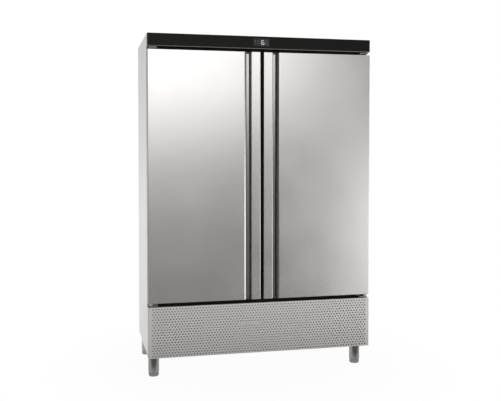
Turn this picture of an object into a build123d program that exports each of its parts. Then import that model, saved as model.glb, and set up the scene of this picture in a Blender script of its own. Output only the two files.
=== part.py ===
from build123d import *
from math import sqrt
import os

os.makedirs("parts", exist_ok=True)

# Two-door upright refrigerator. Millimetres, +Z up, the doors face -Y, +X is the right-hand
# side of someone who stands in front, and the origin is on the floor under the centre.

# Overall size
width = 1388.0
depth = 700.0
leg_height = 141.0
body_height = 1926.0

# Front layout, from the top down
strip_height = 76.0
strip_gap = 18.0
grille_gap = 22.5
grille_height = 304.0
front_depth = 58.0

# Doors
door_gap = 18.0
door_thickness = 50.0
stile_width = 58.0
recess_width = 29.0
recess_depth = 38.0
seal_inset = 18.0
seal_width = 22.0
seal_land = 4.0

# Walls
sheet = 1.0
wall = 60.0
seat = 0.3
overrun = 5.0

# Places that follow from these
left, right = -width / 2, width / 2
front, rear = -depth / 2, depth / 2
body_front = front + front_depth
base = leg_height
top = base + body_height
grille_top = base + grille_height
door_bottom = grille_top + grille_gap
strip_bottom = top - strip_height
door_top = strip_bottom - strip_gap
door_side = -door_gap / 2
seal_band = seal_inset + seal_width + seal_land
chamber_left, chamber_right = left + wall, right - wall
chamber_rear = rear - wall
chamber_ceiling = top - wall
chamber_floor = door_bottom + seal_band
window_top = door_top - seal_band
mullion_half = door_gap / 2 + seal_band
machine_ceiling = chamber_floor - wall
skin_left, skin_right = left + sheet, right - sheet


def block(x, y, z, mode=Mode.ADD):
    """A box that fills three (low, high) ranges."""
    centre = (sum(x) / 2, sum(y) / 2, sum(z) / 2)
    with Locations(centre):
        return Box(x[1] - x[0], y[1] - y[0], z[1] - z[0], mode=mode)


def inset(span, amount):
    """A (low, high) range drawn in at both ends."""
    return (span[0] + amount, span[1] - amount)


def twin(piece):
    """The same piece for the other side of the cabinet."""
    with BuildPart() as other:
        mirror(piece.part, about=Plane.YZ)
    return other


def write(piece, node):
    """Labels a finished piece and writes its STEP file."""
    piece.part.label = node
    export_step(piece.part, f"parts/{node}.step")


# Side panels: one stainless sheet a side, folded in under the cabinet
side_flange = 25.0
with BuildPart() as side_panel_left:
    block((left, skin_left), (body_front, rear), (base, top))
    block((left, left + side_flange), (body_front, rear), (base, base + sheet))
write(side_panel_left, "side_panel_left")
write(twin(side_panel_left), "side_panel_right")

# Top panel
with BuildPart() as top_panel:
    block((skin_left, skin_right), (body_front, rear), (top - sheet, top))
write(top_panel, "top_panel")

# Rear panel, set in from the rear edges of the side panels
rear_recess = 4.0
rear_face = rear - rear_recess
rear_inner = rear_face - sheet
with BuildPart() as rear_panel:
    block((skin_left, skin_right), (rear_inner, rear_face), (machine_ceiling, top - sheet))
write(rear_panel, "rear_panel")

# Front frame: the dark sheet that the door seals close on, with its two openings
frame_corner = 8.0
frame_skirt = 30.0
frame_back = body_front + sheet
opening_left = (chamber_left, -mullion_half)
opening_right = (mullion_half, chamber_right)
opening_height = (chamber_floor, window_top)
with BuildPart() as front_frame:
    block(
        (skin_left, skin_right), (body_front, frame_back), (grille_top - frame_skirt, top - sheet)
    )
    for opening in (opening_left, opening_right):
        block(
            opening,
            (body_front - overrun, frame_back + overrun),
            opening_height,
            mode=Mode.SUBTRACT,
        )
    corners = front_frame.edges().filter_by(Axis.Y)
    inner = corners.filter_by_position(Axis.Z, chamber_floor - overrun, window_top + overrun)
    fillet(inner, radius=frame_corner)
write(front_frame, "front_frame")

# Inner liner: one stainless tub with a header along its front top edge
header_depth = 58.0
header_rear = body_front + header_depth
liner_front = frame_back
liner_back = chamber_rear + sheet
liner_corner = 10.0
with BuildPart() as inner_liner:
    with BuildSketch(Plane.YZ):
        with BuildLine():
            Polyline(
                (liner_front, chamber_floor - sheet),
                (liner_back, chamber_floor - sheet),
                (liner_back, chamber_ceiling + sheet),
                (header_rear - sheet, chamber_ceiling + sheet),
                (header_rear - sheet, window_top + sheet),
                (liner_front, window_top + sheet),
                close=True,
            )
        make_face()
    extrude(amount=chamber_right + sheet, both=True)
    with BuildSketch(Plane.YZ):
        with BuildLine():
            Polyline(
                (liner_front - overrun, chamber_floor),
                (chamber_rear, chamber_floor),
                (chamber_rear, chamber_ceiling),
                (header_rear, chamber_ceiling),
                (header_rear, window_top),
                (liner_front - overrun, window_top),
                close=True,
            )
        make_face()
    extrude(amount=chamber_right, both=True, mode=Mode.SUBTRACT)
    corner_line = inner_liner.edges().filter_by(Axis.X)
    corner_line = corner_line.filter_by_position(Axis.Y, chamber_rear - seat, chamber_rear + seat)
    fillet(corner_line, radius=liner_corner)
write(inner_liner, "inner_liner")

# Insulation: a rigid foam slab in each wall, the top one with the header along its front
foam_low = machine_ceiling + sheet
foam_high = top - sheet
foam_side = (left + sheet, chamber_left - sheet)
foam_across = inset((chamber_left - sheet, chamber_right + sheet), seat)
foam_deep = (frame_back, liner_back - seat)
with BuildPart() as insulation:
    for side in (1, -1):
        across = sorted((side * foam_side[0], side * foam_side[1]))
        block(across, (frame_back, rear_inner), (foam_low, foam_high))
    block(foam_across, (liner_back, rear_inner), (foam_low, foam_high))
    block(foam_across, foam_deep, (chamber_ceiling + sheet, foam_high))
    block(foam_across, (frame_back, header_rear - sheet), (window_top + sheet, foam_high))
    block(foam_across, foam_deep, (foam_low, chamber_floor - sheet))
write(insulation, "insulation")

# Centre mullion: the foamed post between the two openings
mullion_depth = 58.0
mullion_back = body_front + mullion_depth
mullion_corner = 6.0
with BuildPart() as centre_mullion:
    block((-mullion_half, mullion_half), (frame_back, mullion_back), opening_height)
    post_edges = centre_mullion.edges().filter_by(Axis.Z).group_by(Axis.Y)[-1]
    fillet(post_edges, radius=mullion_corner)
write(centre_mullion, "centre_mullion")

# Machine compartment: ceiling sheet and base pan
pan_sheet = 2.0
pan_lip = 22.0
pan_floor = base + sheet + pan_sheet
pan_deep = (body_front, rear_inner)
with BuildPart() as machine_ceiling_sheet:
    block(
        (skin_left, skin_right),
        (frame_back, rear_inner),
        (machine_ceiling, machine_ceiling + sheet),
    )
write(machine_ceiling_sheet, "machine_ceiling")
with BuildPart() as base_pan:
    block((skin_left, skin_right), pan_deep, (base + sheet, base + sheet + pan_lip))
    block(
        inset((skin_left, skin_right), pan_sheet),
        inset(pan_deep, pan_sheet),
        (pan_floor, base + sheet + pan_lip + overrun),
        mode=Mode.SUBTRACT,
    )
write(base_pan, "base_pan")

# Rear grille: sheet over the back of the machine compartment, with rows of pressed louvres
louvre_length = 90.0
louvre_slot = 8.0
louvre_reach = 3.5
louvre_sheet = 0.8
louvre_pitch = 16.0
louvre_margin = 60.0
louvre_columns = 5
louvre_column_pitch = 230.0
gland_radius = 11.0
gland_x = 610.0
gland_z = base + pan_lip + gland_radius * 2
grille_span = (base + sheet, machine_ceiling)
louvre_rows = int((grille_span[1] - grille_span[0] - louvre_margin * 2) / louvre_pitch)
louvre_half = louvre_slot / 2 + louvre_sheet
with BuildPart() as louvre:
    with BuildSketch(Plane.YZ):
        with BuildLine():
            Polyline(
                (0, louvre_half), (louvre_reach, -louvre_half), (0, -louvre_half), close=True
            )
        make_face()
    extrude(amount=louvre_length / 2 + louvre_sheet, both=True)
    with BuildSketch(Plane.YZ):
        with BuildLine():
            Polyline(
                (0, louvre_half - louvre_sheet * 2),
                (louvre_reach - louvre_sheet, -louvre_half),
                (0, -louvre_half),
                close=True,
            )
        make_face()
    extrude(amount=louvre_length / 2, both=True, mode=Mode.SUBTRACT)
with BuildPart() as rear_grille:
    block((skin_left, skin_right), (rear_inner, rear_face), grille_span)
    with Locations((0, rear_face, sum(grille_span) / 2)):
        for column in range(louvre_columns):
            louvre_x = (column - (louvre_columns - 1) / 2) * louvre_column_pitch
            for row in range(louvre_rows):
                louvre_z = (row - (louvre_rows - 1) / 2) * louvre_pitch
                with Locations((louvre_x, 0, louvre_z)):
                    Box(louvre_length, sheet * 2, louvre_slot, mode=Mode.SUBTRACT)
                    add(louvre.part)
    with Locations((gland_x, rear_face, gland_z)):
        Cylinder(gland_radius + seat, overrun, rotation=(90, 0, 0), mode=Mode.SUBTRACT)
write(rear_grille, "rear_grille")

# Control box: folded stainless, behind the black fascia
fascia_thickness = 3.0
fascia_lip = 4.0
box_sheet = 1.2
box_bend = 3.0
bezel_width = 100.0
bezel_height = 48.0
bezel_shift = -5.5
bezel_fit = 0.3
housing_width = 92.0
housing_height = 40.0
housing_depth = 40.0
strip_middle = (strip_bottom + fascia_lip + top) / 2
box_front = front + fascia_thickness
housing_x = (bezel_shift - housing_width / 2, bezel_shift + housing_width / 2)
housing_z = (strip_middle - housing_height / 2, strip_middle + housing_height / 2)
with BuildPart() as control_box:
    block((left, right), (box_front, body_front), (strip_bottom, top))
    lower_edge = control_box.edges().filter_by(Axis.X).group_by(Axis.Y)[0].sort_by(Axis.Z)[0]
    fillet(lower_edge, radius=box_bend)
    block(
        inset((left, right), box_sheet),
        (box_front + box_sheet, body_front + overrun),
        inset((strip_bottom, top), box_sheet),
        mode=Mode.SUBTRACT,
    )
    block(
        inset(housing_x, -bezel_fit),
        (box_front - overrun, box_front + overrun),
        inset(housing_z, -bezel_fit),
        mode=Mode.SUBTRACT,
    )
write(control_box, "control_box")

# Control fascia: black glossy face with a window for the controller
fascia_corner = 1.5
bezel_x = (bezel_shift - bezel_width / 2, bezel_shift + bezel_width / 2)
bezel_z = (strip_middle - bezel_height / 2, strip_middle + bezel_height / 2)
with BuildPart() as control_fascia:
    block((left, right), (front, box_front), (strip_bottom + fascia_lip, top))
    fillet(control_fascia.edges().group_by(Axis.Y)[0], radius=fascia_corner)
    block(
        inset(bezel_x, -bezel_fit),
        (front - overrun, box_front + overrun),
        inset(bezel_z, -bezel_fit),
        mode=Mode.SUBTRACT,
    )
write(control_fascia, "control_fascia")

# Controller: bezel and housing in one moulding, with pockets for the keys and the lens
bezel_recess = 0.5
key_width = 13.0
key_height = 11.0
key_gap = 4.0
key_fit = 0.3
key_travel = 0.8
key_stand = 0.4
key_thickness = 3.0
key_pocket = key_thickness + key_travel + seat - key_stand
bezel_face = front + bezel_recess
lens_width = 56.0
lens_height = 38.0
lens_depth = 2.0
lens_fit = 0.2
bezel_margin = 5.0
lens_x = (bezel_x[1] - bezel_margin - lens_width, bezel_x[1] - bezel_margin)
lens_z = (strip_middle - lens_height / 2, strip_middle + lens_height / 2)
keys_middle = (bezel_x[0] + lens_x[0]) / 2
key_step_x = (key_width + key_gap) / 2
key_step_z = (key_height + key_gap) / 2
key_places = {
    "key_power": (keys_middle - key_step_x, strip_middle + key_step_z),
    "key_set": (keys_middle - key_step_x, strip_middle - key_step_z),
    "key_up": (keys_middle + key_step_x, strip_middle + key_step_z),
    "key_down": (keys_middle + key_step_x, strip_middle - key_step_z),
}
with BuildPart() as controller:
    block(bezel_x, (bezel_face, box_front), bezel_z)
    block(housing_x, (bezel_face, box_front + housing_depth), housing_z)
    for key_x, key_z in key_places.values():
        with Locations((key_x, bezel_face + key_pocket / 2, key_z)):
            Box(
                key_width + key_fit * 2,
                key_pocket,
                key_height + key_fit * 2,
                mode=Mode.SUBTRACT,
            )
    block(
        inset(lens_x, -lens_fit),
        (bezel_face - overrun, bezel_face + lens_depth),
        inset(lens_z, -lens_fit),
        mode=Mode.SUBTRACT,
    )
write(controller, "controller")
with BuildPart() as display_lens:
    block(lens_x, (bezel_face, bezel_face + lens_depth), lens_z)
write(display_lens, "display_lens")

# Control keys
key_corner = 2.0
key_edge = 0.3
key_face = bezel_face - key_stand
for node, (key_x, key_z) in key_places.items():
    with BuildPart() as key:
        with Locations((key_x, key_face + key_thickness / 2, key_z)):
            Box(key_width, key_thickness, key_height)
        fillet(key.edges().filter_by(Axis.Y), radius=key_corner)
        fillet(key.edges().group_by(Axis.Y)[0], radius=key_edge)
    write(key, node)

# Perforated lower panel: a shallow folded tray with staggered round holes
grille_sheet = 1.2
grille_border = 8.0
grille_bend = 2.0
grille_return = 20.0
hole_diameter = 8.0
hole_pitch = 17.8
row_pitch = hole_pitch * sqrt(3) / 2
hole_rows = int((grille_height - grille_border * 2 - hole_diameter) / row_pitch) + 1
hole_columns = int((width - grille_border * 2 - hole_diameter) / hole_pitch)
grille_middle = base + grille_height / 2
hole_places = []
for row in range(hole_rows):
    count = hole_columns - row % 2
    for column in range(count):
        hole_x = (column - (count - 1) / 2) * hole_pitch
        hole_z = (row - (hole_rows - 1) / 2) * row_pitch
        hole_places.append((hole_x, hole_z))
perforated_width = width - grille_border * 2
perforated_height = grille_height - grille_border * 2
grille_plane = Plane(origin=(0, front, grille_middle), x_dir=(1, 0, 0), z_dir=(0, -1, 0))
with BuildPart() as grille_panel:
    block((left, right), (front, body_front), (base, grille_top))
    fillet(grille_panel.edges().filter_by(Axis.Z).group_by(Axis.Y)[0], radius=grille_bend)
    block(
        inset((left, right), grille_sheet),
        (front + grille_sheet, body_front + overrun),
        inset((base, grille_top), grille_sheet),
        mode=Mode.SUBTRACT,
    )
    block(
        inset((left, right), grille_sheet),
        (front + grille_return, body_front + overrun),
        (base - overrun, grille_top + overrun),
        mode=Mode.SUBTRACT,
    )
    block(
        inset((left, right), grille_border),
        (front - overrun, front + grille_sheet + overrun),
        inset((base, grille_top), grille_border),
        mode=Mode.SUBTRACT,
    )
    with BuildSketch(grille_plane):
        outline = Rectangle(perforated_width, perforated_height, mode=Mode.PRIVATE)
        holes = [Wire.make_circle(hole_diameter / 2, Plane(place)) for place in hole_places]
        add(Face(outline.face().outer_wire(), holes))
    extrude(amount=-grille_sheet)
write(grille_panel, "grille_panel")

# Grille backing: the light frame with two posts that stiffens the perforated panel
backing_setback = 14.0
backing_sheet = 1.5
backing_band = 68.0
backing_side = 50.0
backing_post = 22.0
backing_post_x = 348.0
backing_y = (front + backing_setback, front + backing_setback + backing_sheet)
backing_cut_y = inset(backing_y, -overrun)
backing_cut_z = inset((base, grille_top), backing_band)
backing_post_in = backing_post_x - backing_post / 2
backing_post_out = backing_post_x + backing_post / 2
with BuildPart() as grille_backing:
    block(
        inset((left, right), grille_sheet),
        backing_y,
        inset((base, grille_top), grille_sheet),
    )
    block((-backing_post_in, backing_post_in), backing_cut_y, backing_cut_z, mode=Mode.SUBTRACT)
    for side in (1, -1):
        cut = sorted((side * backing_post_out, side * (right - backing_side)))
        block(cut, backing_cut_y, backing_cut_z, mode=Mode.SUBTRACT)
write(grille_backing, "grille_backing")

# Hinges: folded steel brackets on the cabinet, each with a fixed pin
pin_inset = 17.0
pin_setback = 28.0
pin_radius = 5.0
pin_length = 24.0
pin_fit = 0.05
bracket_sheet = 5.0
bracket_length = 58.0
bracket_inset = 4.0
bracket_margin = 3.0
bracket_corner = 8.0
bush_radius = 9.0
bush_length = 26.0
bush_fit = 0.1
flange_radius = 12.0
pin_x, pin_y = left + pin_inset, front + pin_setback
bracket_x = (left + bracket_inset, left + bracket_inset + bracket_length)
bracket_y = (pin_y - flange_radius, body_front)
bracket_foot = (body_front - bracket_sheet, body_front)
upper_plate = (strip_bottom - bracket_margin - bracket_sheet, strip_bottom - bracket_margin)
lower_plate = (grille_top + bracket_margin, grille_top + bracket_margin + bracket_sheet)
upper_foot_z = (door_top + bracket_margin, strip_bottom - bracket_margin)
lower_foot_z = (grille_top + bracket_margin, door_bottom - bracket_margin)
with BuildPart() as upper_bracket:
    block(bracket_x, bracket_y, upper_plate)
    fillet(upper_bracket.edges().filter_by(Axis.Z).group_by(Axis.Y)[0], radius=bracket_corner)
    block(bracket_x, bracket_foot, upper_foot_z)
    with Locations((pin_x, pin_y, (door_top - pin_length + upper_plate[1]) / 2)):
        Cylinder(pin_radius, upper_plate[1] - door_top + pin_length)
with BuildPart() as lower_bracket:
    block(bracket_x, bracket_y, lower_plate)
    fillet(lower_bracket.edges().filter_by(Axis.Z).group_by(Axis.Y)[0], radius=bracket_corner)
    block(bracket_x, bracket_foot, lower_foot_z)
    with Locations((pin_x, pin_y, (door_bottom + pin_length + lower_plate[0]) / 2)):
        Cylinder(pin_radius, door_bottom + pin_length - lower_plate[0])
with BuildPart() as hinge_brackets:
    for bracket in (upper_bracket, lower_bracket):
        add(bracket.part)
        mirror(bracket.part, about=Plane.YZ)
write(hinge_brackets, "hinge_brackets")

# Door skins: folded stainless face with a rolled lip, and the folded stile beside the grip
skin_return = 18.0
lip_radius = 15.0
lip_return = 16.0
bend_radius = 4.0
end_radius = 3.0
stile_edge = door_side - stile_width
face_edge = stile_edge - recess_width
skin_back = front + skin_return
door_back = front + door_thickness
door_z = (door_bottom, door_top)
with BuildPart() as door_face:
    block((left, face_edge), (front, skin_back), door_z)
    upright_edges = door_face.edges().filter_by(Axis.Z).group_by(Axis.Y)[0].sort_by(Axis.X)
    fillet(upright_edges[-1], radius=lip_radius)
    fillet(upright_edges[0], radius=bend_radius)
    fillet(door_face.edges().filter_by(Axis.X).group_by(Axis.Y)[0], radius=end_radius)
    offset(amount=-sheet, openings=door_face.faces().sort_by(Axis.Y)[-1])
    block(
        (face_edge - sheet * 2, face_edge + overrun),
        (front + lip_return, skin_back + overrun),
        inset(door_z, sheet),
        mode=Mode.SUBTRACT,
    )
with BuildPart() as door_stile:
    block((stile_edge, door_side), (front, skin_back), door_z)
    fillet(door_stile.edges().filter_by(Axis.Z).group_by(Axis.Y)[0], radius=bend_radius)
    fillet(door_stile.edges().filter_by(Axis.X).group_by(Axis.Y)[0], radius=end_radius)
    offset(amount=-sheet, openings=door_stile.faces().sort_by(Axis.Y)[-1])
with BuildPart() as door_skin:
    add(door_face.part)
    add(door_stile.part)
write(door_skin, "door_skin_left")
write(twin(door_skin), "door_skin_right")

# Door edge frames: the dark moulded ring behind the skin, bored for the hinge bushes
edge_band = 6.0
door_x = (left, door_side)
frame_x = inset(door_x, edge_band)
frame_z = inset(door_z, edge_band)
with BuildPart() as door_frame:
    block(door_x, (skin_back, door_back), door_z)
    block(frame_x, (skin_back - overrun, door_back + overrun), frame_z, mode=Mode.SUBTRACT)
    with Locations((pin_x, pin_y, sum(door_z) / 2)):
        Cylinder(bush_radius + bush_fit, door_top - door_bottom + overrun, mode=Mode.SUBTRACT)
write(door_frame, "door_frame_left")
write(twin(door_frame), "door_frame_right")

# Grip channels: dull metal profiles between the rails of the edge frame, which undercut the
# rolled lip
grip_corner = 8.0
grip_undercut = 14.0
grip_floor = front + recess_depth
channel_wall = 2.0
channel_front = 3.0
channel_lip = front + lip_return + seat
channel_back = grip_floor + channel_wall
undercut_edge = face_edge - grip_undercut
channel_edge = undercut_edge - channel_wall
with BuildPart() as grip_channel:
    block((channel_edge, stile_edge), (channel_lip, channel_back), frame_z)
    block(
        (stile_edge - channel_wall, stile_edge),
        (front + channel_front, channel_lip),
        frame_z,
    )
    block(
        (undercut_edge, stile_edge - channel_wall),
        (channel_lip + channel_wall, grip_floor),
        inset(frame_z, -overrun),
        mode=Mode.SUBTRACT,
    )
    block(
        (face_edge, stile_edge - channel_wall),
        (front, grip_floor),
        inset(frame_z, -overrun),
        mode=Mode.SUBTRACT,
    )
    floor_edges = grip_channel.edges().filter_by(Axis.Z)
    floor_edges = floor_edges.filter_by_position(Axis.Y, grip_floor - seat, grip_floor + seat)
    fillet(floor_edges, radius=grip_corner)
write(grip_channel, "grip_channel_left")
write(twin(grip_channel), "grip_channel_right")

# Door cores: blocks of rigid foam in the rolled lip, beside and behind the grip channel and
# in the stile
panel_sheet = 2.0
core_back = door_back - panel_sheet
shallow_z = inset(door_z, bend_radius)
with BuildPart() as lip_filling:
    block((channel_edge + seat, face_edge - sheet), (front + sheet, channel_lip), shallow_z)
    lip_edge = lip_filling.edges().filter_by(Axis.Z).group_by(Axis.Y)[0].sort_by(Axis.X)[-1]
    fillet(lip_edge, radius=lip_radius - sheet)
with BuildPart() as door_core:
    add(lip_filling.part)
    block((left + bend_radius, channel_edge), (front + sheet, skin_back), shallow_z)
    block((frame_x[0], channel_edge), (skin_back, core_back), frame_z)
    block((channel_edge + seat, stile_edge - seat), (channel_back, core_back), frame_z)
    block((stile_edge, frame_x[1]), (skin_back, core_back), frame_z)
    block(
        (stile_edge + bend_radius, door_side - bend_radius),
        (front + sheet, skin_back),
        shallow_z,
    )
    for pocket_end in (door_top - bush_length / 2, door_bottom + bush_length / 2):
        with Locations((pin_x, pin_y, pocket_end)):
            Cylinder(bush_radius + bush_fit, bush_length, mode=Mode.SUBTRACT)
write(door_core, "door_core_left")
write(twin(door_core), "door_core_right")

# Door inner panels
with BuildPart() as door_panel:
    block(frame_x, (core_back, door_back), frame_z)
write(door_panel, "door_inner_panel_left")
write(twin(door_panel), "door_inner_panel_right")

# Door gaskets: a broad base in the panel's edge and a narrower magnetic bead
gasket_base = 3.0
bead_inset = 4.0
gasket_back = body_front - seat
seal_x = inset(door_x, seal_inset)
seal_z = inset(door_z, seal_inset)
seal_hole_x = inset(seal_x, seal_width)
seal_hole_z = inset(seal_z, seal_width)
with BuildPart() as door_gasket:
    block(seal_x, (door_back, door_back + gasket_base), seal_z)
    block(
        inset(seal_x, bead_inset),
        (door_back, gasket_back),
        inset(seal_z, bead_inset),
    )
    block(
        inset(seal_hole_x, -bead_inset),
        (door_back + gasket_base, gasket_back + overrun),
        inset(seal_hole_z, -bead_inset),
        mode=Mode.SUBTRACT,
    )
    block(
        seal_hole_x,
        (door_back - overrun, gasket_back + overrun),
        seal_hole_z,
        mode=Mode.SUBTRACT,
    )
write(door_gasket, "door_gasket_left")
write(twin(door_gasket), "door_gasket_right")

# Hinge bushes: nylon, the lower one with a flange that carries the door
flange_height = door_bottom - lower_plate[1] - seat
with BuildPart() as upper_bush:
    with Locations((pin_x, pin_y, door_top - bush_length / 2)):
        Cylinder(bush_radius, bush_length)
        Cylinder(pin_radius + pin_fit, bush_length, mode=Mode.SUBTRACT)
with BuildPart() as lower_bush:
    with Locations((pin_x, pin_y, door_bottom + bush_length / 2)):
        Cylinder(bush_radius, bush_length)
    with Locations((pin_x, pin_y, door_bottom - flange_height / 2)):
        Cylinder(flange_radius, flange_height)
    with Locations((pin_x, pin_y, door_bottom)):
        Cylinder(pin_radius + pin_fit, bush_length * 2, mode=Mode.SUBTRACT)
with BuildPart() as hinge_bushes:
    add(upper_bush.part)
    add(lower_bush.part)
write(hinge_bushes, "hinge_bushes_left")
write(twin(hinge_bushes), "hinge_bushes_right")

# Legs: stainless tubes welded to square plates, with a nut plate that the foot stops against
leg_inset = 44.0
leg_front_setback = 137.0
leg_rear_setback = 638.0
leg_radius = 33.0
leg_wall = 1.5
leg_plate = 80.0
leg_plate_sheet = 4.0
leg_clearance = 28.0
foot_radius = 31.0
foot_height = 77.0
foot_edge = 4.0
nut_plate = 10.0
spindle_radius = 8.0
spindle_fit = 0.06
spindle_top = 125.0
nut_low = foot_height + seat
leg_places = {
    "foot_front_left": (left + leg_inset, front + leg_front_setback),
    "foot_front_right": (right - leg_inset, front + leg_front_setback),
    "foot_rear_left": (left + leg_inset, front + leg_rear_setback),
    "foot_rear_right": (right - leg_inset, front + leg_rear_setback),
}
with BuildPart() as legs:
    for leg_x, leg_y in leg_places.values():
        with Locations((leg_x, leg_y, base - leg_plate_sheet / 2)):
            Box(leg_plate, leg_plate, leg_plate_sheet)
        with Locations((leg_x, leg_y, (base + leg_clearance) / 2)):
            Cylinder(leg_radius, base - leg_clearance)
        with Locations((leg_x, leg_y, (leg_clearance + nut_low) / 2)):
            Cylinder(leg_radius - leg_wall, nut_low - leg_clearance, mode=Mode.SUBTRACT)
        hollow = (nut_low + nut_plate, base - leg_plate_sheet)
        with Locations((leg_x, leg_y, sum(hollow) / 2)):
            Cylinder(leg_radius - leg_wall, hollow[1] - hollow[0], mode=Mode.SUBTRACT)
        with Locations((leg_x, leg_y, nut_low + nut_plate / 2)):
            Cylinder(spindle_radius + spindle_fit, nut_plate, mode=Mode.SUBTRACT)
write(legs, "legs")

# Adjustable feet: each slides out of its leg on a spindle
for node, (leg_x, leg_y) in leg_places.items():
    with BuildPart() as foot:
        with Locations((leg_x, leg_y, foot_height / 2)):
            Cylinder(foot_radius, foot_height)
        chamfer(foot.edges().group_by(Axis.Z)[0], length=foot_edge)
        with Locations((leg_x, leg_y, (foot_height + spindle_top) / 2)):
            Cylinder(spindle_radius, spindle_top - foot_height)
    write(foot, node)

# Shelf supports: slotted uprights and angle runners, three levels in each half
upright_depth = 24.0
upright_thickness = 12.0
upright_slot = 6.0
upright_slot_height = 14.0
upright_slot_pitch = 40.0
runner_sheet = 1.5
runner_ledge = 20.0
runner_web = 16.0
shelf_levels = 3
shelf_pitch = 322.0
shelf_heights = [chamber_floor + shelf_pitch * (level + 1) for level in range(shelf_levels)]
upright_top = shelf_heights[-1] + upright_slot_pitch * 2
upright_z = (chamber_floor + liner_corner, upright_top)
uprights_front = (mullion_back, mullion_back + upright_depth)
uprights_rear = (chamber_rear - upright_depth, chamber_rear)
upright_faces = (
    (chamber_left + upright_thickness, 1),
    (-upright_thickness, -1),
    (upright_thickness, 1),
    (chamber_right - upright_thickness, -1),
)
slot_count = int((upright_z[1] - upright_z[0]) / upright_slot_pitch)
slot_heights = [upright_z[0] + (step + 0.5) * upright_slot_pitch for step in range(slot_count)]
runner_y = (uprights_front[0], chamber_rear)
with BuildPart() as shelf_supports:
    for across in (
        (chamber_left, chamber_left + upright_thickness),
        (-upright_thickness, upright_thickness),
        (chamber_right - upright_thickness, chamber_right),
    ):
        block(across, uprights_front, upright_z)
        block(across, uprights_rear, upright_z)
    for face_x, way in upright_faces:
        for deep in (uprights_front, uprights_rear):
            with Locations([(face_x, sum(deep) / 2, height) for height in slot_heights]):
                Box(upright_slot, upright_slot, upright_slot_height, mode=Mode.SUBTRACT)
    for face_x, way in upright_faces:
        web = (face_x + way * seat, face_x + way * (seat + runner_sheet))
        ledge = (face_x + way * seat, face_x + way * (seat + runner_ledge))
        for height in shelf_heights:
            block(sorted(web), runner_y, (height - runner_web, height))
            block(sorted(ledge), runner_y, (height - runner_sheet, height))
write(shelf_supports, "shelf_supports")

# Wire shelves: a round-cornered frame wire with finer wires across it
shelf_side_gap = 2.0
shelf_front_gap = 12.0
frame_wire = 3.0
fine_wire = 2.0
fine_pitch = 26.0
cross_rods = 2
shelf_corner = 12.0
shelf_x = (
    chamber_left + upright_thickness + shelf_side_gap,
    -upright_thickness - shelf_side_gap,
)
shelf_y = (runner_y[0] + shelf_front_gap, chamber_rear - seat)
shelf_middle = (sum(shelf_x) / 2, sum(shelf_y) / 2)
shelf_wide = shelf_x[1] - shelf_x[0] - frame_wire * 2
shelf_deep = shelf_y[1] - shelf_y[0] - frame_wire * 2
fine_wires = int((shelf_wide - fine_pitch) / fine_pitch)
rod_pitch = shelf_deep / (cross_rods + 1)
with BuildPart() as wire_shelf:
    with BuildLine() as frame_line:
        FilletPolyline(
            (-shelf_wide / 2, -shelf_deep / 2),
            (shelf_wide / 2, -shelf_deep / 2),
            (shelf_wide / 2, shelf_deep / 2),
            (-shelf_wide / 2, shelf_deep / 2),
            radius=shelf_corner,
            close=True,
        )
    with BuildSketch(Plane(origin=frame_line.line @ 0, z_dir=frame_line.line % 0)):
        Circle(frame_wire)
    sweep(path=frame_line.line)
    with GridLocations(fine_pitch, 0, fine_wires, 1):
        Cylinder(fine_wire, shelf_deep, rotation=(90, 0, 0))
    with GridLocations(0, rod_pitch, 1, cross_rods):
        Cylinder(fine_wire, shelf_wide, rotation=(0, 90, 0))
for node, side in (("wire_shelves_left", 1), ("wire_shelves_right", -1)):
    with BuildPart() as shelves:
        for height in shelf_heights:
            with Locations((side * shelf_middle[0], shelf_middle[1], height + frame_wire + seat)):
                add(wire_shelf.part)
    write(shelves, node)

# Interior lamp under the header
lamp_length = 1000.0
lamp_depth = 24.0
lamp_height = 20.0
lamp_drop = 18.0
lamp_corner = 6.0
with BuildPart() as interior_lamp:
    block(
        (-lamp_length / 2, lamp_length / 2),
        (header_rear, header_rear + lamp_depth),
        (window_top + lamp_drop, window_top + lamp_drop + lamp_height),
    )
    fillet(interior_lamp.edges().filter_by(Axis.X).group_by(Axis.Y)[-1], radius=lamp_corner)
write(interior_lamp, "interior_lamp")

# Fans: where each one sits, and how large it is
evaporator_depth = 300.0
evaporator_height = 190.0
evaporator_width = 860.0
evaporator_sheet = 1.5
fan_offset = 210.0
fan_opening = 80.0
fan_clearance = 5.0
cover_front = chamber_rear - evaporator_depth
evaporator_bottom = chamber_ceiling - evaporator_height
evaporator_middle = (evaporator_bottom + chamber_ceiling) / 2
coil_height = 230.0
coil_width = 360.0
coil_depth = 56.0
coil_x = -330.0
coil_gap = 36.0
coil_feet = 12.0
coil_front = body_front + coil_gap
shroud_depth = 40.0
shroud_sheet = 1.5
shroud_opening = 104.0
coil_bottom = pan_floor + coil_feet
coil_middle = coil_bottom + coil_height / 2
shroud_back = coil_front + coil_depth + shroud_depth
hub_radius = 16.0
hub_length = 24.0
blade_root = 10.0
blade_chord = 42.0
blade_sheet = 2.0
blade_corner = 8.0
blade_count = 5
blade_pitch = 26.0
shaft_radius = 4.0
shaft_fit = 0.05
motor_radius = 34.0
motor_length = 46.0
motor_gap = 9.0
arm_width = 16.0
arm_sheet = 3.0


def fan_rotor(x, y, z, opening):
    """A fan in an opening that faces along Y, y being the middle of its hub."""
    tip = opening - fan_clearance
    span = tip - blade_root
    with BuildPart() as blade:
        with BuildSketch(Plane.XY.rotated((blade_pitch, 0, 0))):
            with Locations((blade_root + span / 2, 0)):
                RectangleRounded(span, blade_chord, blade_corner)
        extrude(amount=blade_sheet / 2, both=True)
    with BuildPart(Plane(origin=(x, y, z), z_dir=(0, -1, 0))) as rotor:
        Cylinder(hub_radius, hub_length)
        with PolarLocations(0, blade_count):
            add(blade.part)
        Cylinder(shaft_radius + shaft_fit, hub_length, mode=Mode.SUBTRACT)
    return rotor


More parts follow.
